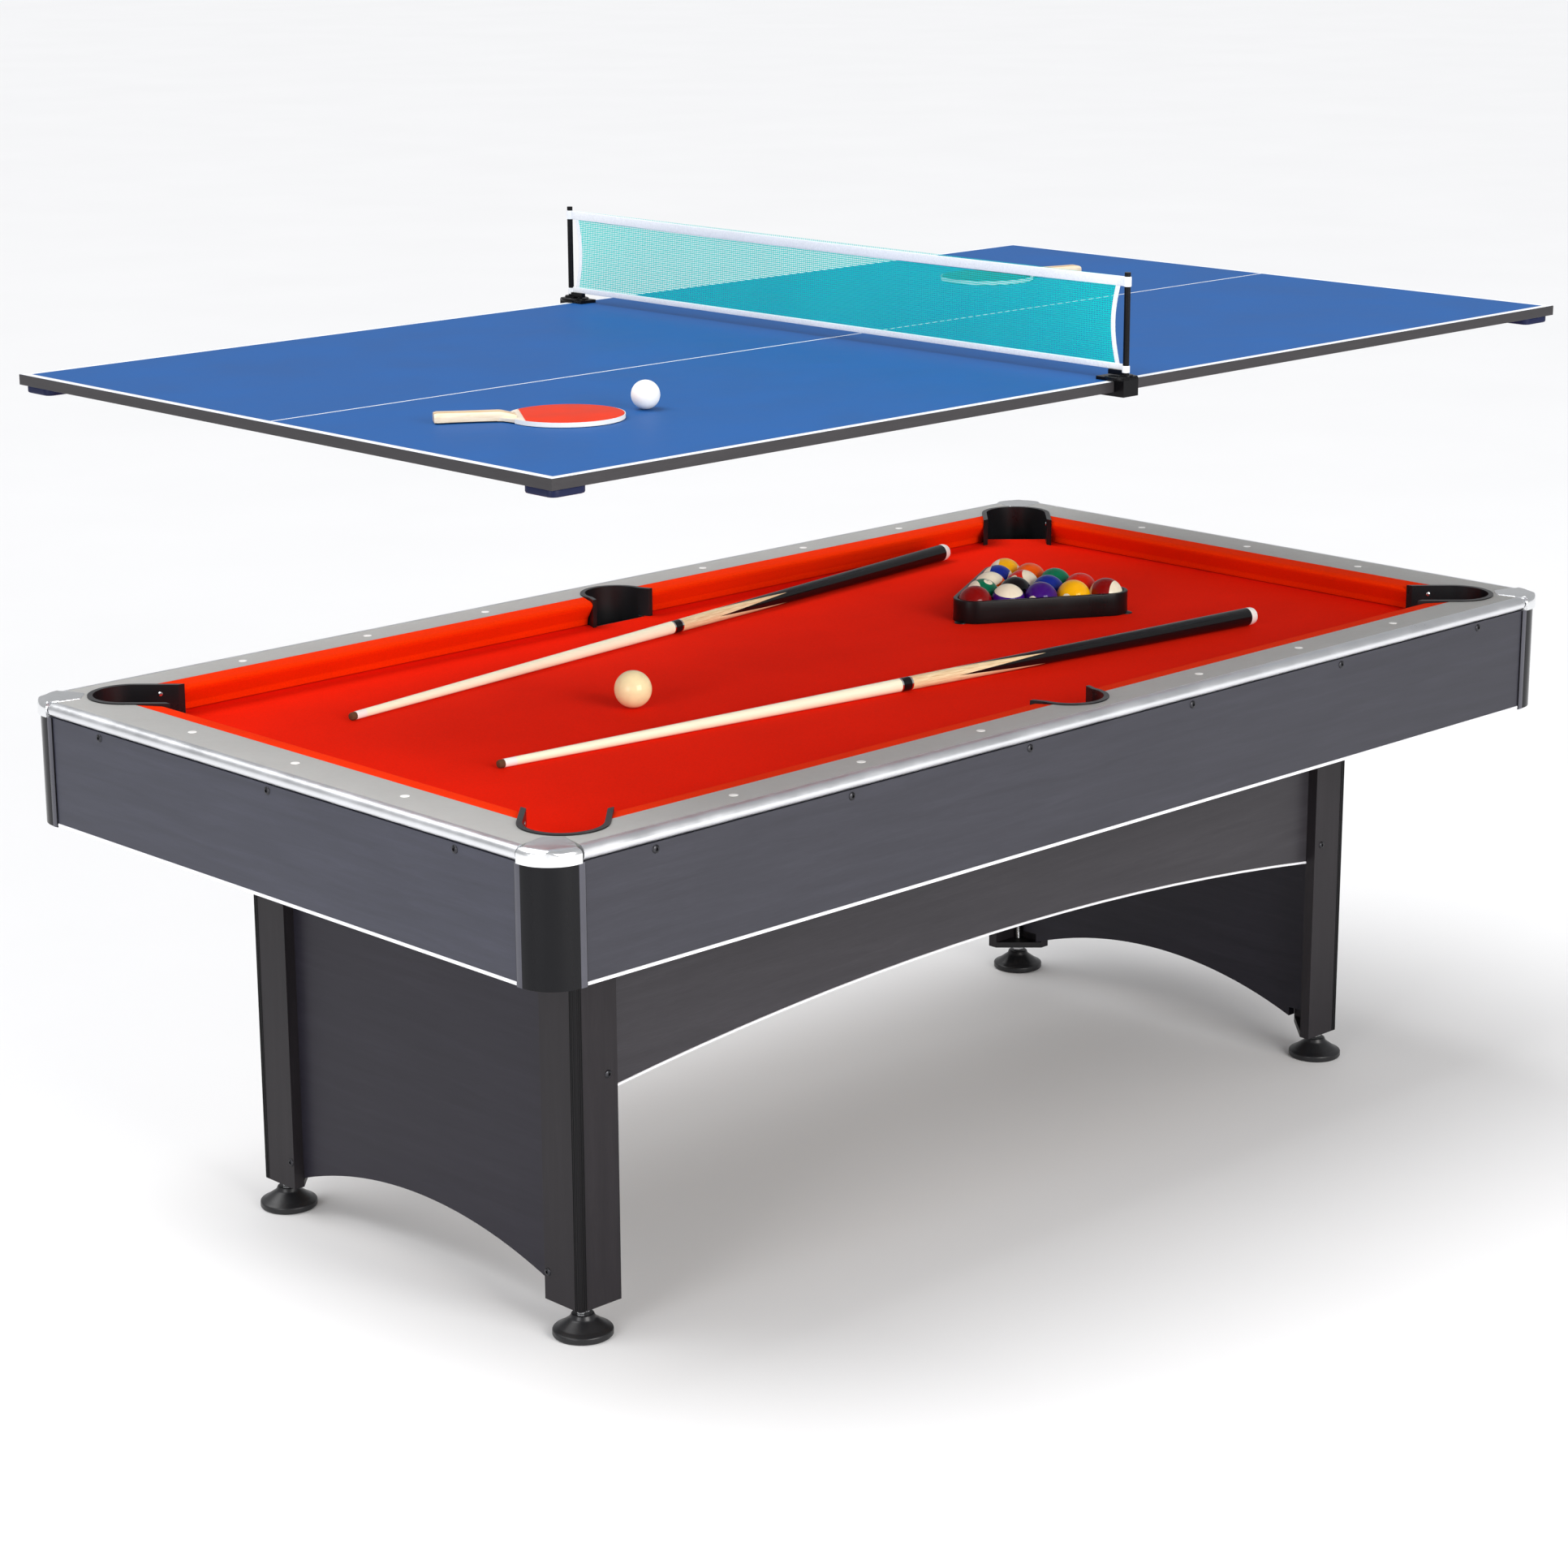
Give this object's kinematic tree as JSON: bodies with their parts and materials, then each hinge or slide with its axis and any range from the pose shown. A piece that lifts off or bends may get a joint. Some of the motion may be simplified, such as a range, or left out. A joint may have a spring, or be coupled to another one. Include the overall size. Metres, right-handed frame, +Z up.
{
  "type": "pool table with table tennis top",
  "caption": "Six-pocket pool table with red cloth and charcoal legs, and a blue table-tennis top with net held above it; cues, balls, rack and paddles included.",
  "frame": {"origin": "on the floor, under the middle of the table", "axes": "+X along the table's length, +Y across it, +Z up; the side with the front rail faces -Y"},
  "size_m": [2.18, 1.215, 1.436],
  "materials": {
    "bed_cloth_red": "woven billiard cloth, short nap, matt",
    "cushion_cloth_red": "woven billiard cloth stretched over rubber, matt",
    "laminate_charcoal": "charcoal wood-grain laminate, satin",
    "laminate_leg": "charcoal wood-grain laminate, satin, slightly browner than the aprons",
    "laminate_grey": "pale grey laminate, satin",
    "trim_silver": "bright satin metallic edge trim",
    "bead_white": "silver-white bead, gloss",
    "chrome": "polished",
    "post_black": "black, gloss",
    "strip_black": "black moulded strip, satin",
    "pocket_black": "black moulded liner, semi-gloss",
    "foot_black": "black moulded foot, satin, on a zinc-plated stud",
    "plate_black": "black powder coat",
    "bolt_black": "black oxide",
    "screw_steel": "bright zinc plated",
    "board_mdf": "raw fibreboard",
    "beam_wood": "raw softwood",
    "bracket_steel": "zinc plated",
    "sight_white": "white inlay, gloss",
    "tennis_blue": "painted blue playing surface, satin, on fibreboard",
    "line_white": "white painted line",
    "edging_black": "black edge banding",
    "pad_navy": "dark blue moulded pad",
    "net_mesh": "open knotted mesh, blue-green",
    "net_tape_white": "white woven tape",
    "post_metal_black": "black enamel",
    "ball_resin": "polished resin, each ball its own colour",
    "cue_ball_resin": "polished ivory-coloured resin",
    "rack_black": "black moulded rack, satin",
    "cue_wood": "clear-coated maple shaft, black stained butt",
    "paddle_red": "red pimpled-in rubber on plywood, wooden handle",
    "paddle_black": "black pimpled-in rubber on plywood, wooden handle",
    "ball_white": "white celluloid, matt"
  },
  "bodies": {
    "table": {"apron_back": "laminate_charcoal", "apron_beading": "bead_white", "apron_front": "laminate_charcoal", "apron_left": "laminate_charcoal", "apron_right": "laminate_charcoal", "bed_board": "board_mdf", "bed_cloth": "bed_cloth_red", "bed_cross_beams": "beam_wood", "corner_brackets": "bracket_steel", "corner_caps": "chrome", "corner_posts": "post_black", "cushion_back_left": "cushion_cloth_red", "cushion_back_right": "cushion_cloth_red", "cushion_front_left": "cushion_cloth_red", "cushion_front_right": "cushion_cloth_red", "cushion_left": "cushion_cloth_red", "cushion_right": "cushion_cloth_red", "edge_trim_strips": "trim_silver", "end_panel_left": "laminate_charcoal", "end_panel_right": "laminate_charcoal", "leg_back_left": "laminate_leg", "leg_back_right": "laminate_leg", "leg_corner_strips": "strip_black", "leg_foot_plates": "plate_black", "leg_front_left": "laminate_leg", "leg_front_right": "laminate_leg", "panel_bolts": "bolt_black", "pocket_back_left": "pocket_black", "pocket_back_right": "pocket_black", "pocket_front_left": "pocket_black", "pocket_front_right": "pocket_black", "pocket_screws": "screw_steel", "pocket_side_back": "pocket_black", "pocket_side_front": "pocket_black", "rail_back": "laminate_grey", "rail_front": "laminate_grey", "rail_left": "laminate_grey", "rail_right": "laminate_grey", "rail_sights": "sight_white", "side_panel_back": "laminate_leg", "side_panel_beading": "bead_white", "side_panel_front": "laminate_leg"},
    "tennis_top": {"tennis_top_left": "tennis_blue", "tennis_top_right": "tennis_blue", "tennis_top_edging": "edging_black", "tennis_top_pads": "pad_navy", "net": "net_mesh", "net_posts": "post_metal_black"},
    "racked_balls": {"ball_rack": "rack_black", "object_balls": "ball_resin"},
    "cue_ball": {"cue_ball": "cue_ball_resin"},
    "cue_front": {"cue_front": "cue_wood"},
    "cue_back": {"cue_back": "cue_wood"},
    "paddle_red": {"paddle_red": "paddle_red"},
    "paddle_black": {"paddle_black": "paddle_black"},
    "tennis_ball": {"tennis_ball": "ball_white"},
    "foot_front_left": {"levelling_foot_front_left": "foot_black"},
    "foot_front_right": {"levelling_foot_front_right": "foot_black"},
    "foot_back_left": {"levelling_foot_back_left": "foot_black"},
    "foot_back_right": {"levelling_foot_back_right": "foot_black"}
  },
  "joints": [
    {"name": "top_lift", "type": "slide", "parent": "table", "child": "tennis_top", "axis": [0, 0, 1], "range_m": [-0.4477, 0]},
    {"name": "leveller_front_left", "type": "slide", "parent": "table", "child": "foot_front_left", "axis": [0, 0, 1], "range_m": [-0.02, 0.006]},
    {"name": "leveller_front_right", "type": "slide", "parent": "table", "child": "foot_front_right", "axis": [0, 0, 1], "range_m": [-0.02, 0.006]},
    {"name": "leveller_back_left", "type": "slide", "parent": "table", "child": "foot_back_left", "axis": [0, 0, 1], "range_m": [-0.02, 0.006]},
    {"name": "leveller_back_right", "type": "slide", "parent": "table", "child": "foot_back_right", "axis": [0, 0, 1], "range_m": [-0.02, 0.006]},
    {"name": "cue_ball_roll", "type": "slide", "parent": "table", "child": "cue_ball", "axis": [1, 0, 0], "range_m": [-0.3, 0.6]},
    {"name": "rack_slide", "type": "slide", "parent": "table", "child": "racked_balls", "axis": [1, 0, 0], "range_m": [-0.06, 0.25]},
    {"name": "cue_front_slide", "type": "slide", "parent": "table", "child": "cue_front", "axis": [0.9927, -0.1207, 0], "range_m": [-0.1, 0.1]},
    {"name": "cue_back_slide", "type": "slide", "parent": "table", "child": "cue_back", "axis": [0.9931, 0.1169, 0], "range_m": [-0.1, 0.1]},
    {"name": "paddle_red_lift", "type": "slide", "parent": "tennis_top", "child": "paddle_red", "axis": [0, 0, 1], "range_m": [0, 0.15]},
    {"name": "paddle_black_lift", "type": "slide", "parent": "tennis_top", "child": "paddle_black", "axis": [0, 0, 1], "range_m": [0, 0.15]},
    {"name": "tennis_ball_roll", "type": "slide", "parent": "tennis_top", "child": "tennis_ball", "axis": [1, 0, 0], "range_m": [0, 0.5]}
  ]
}
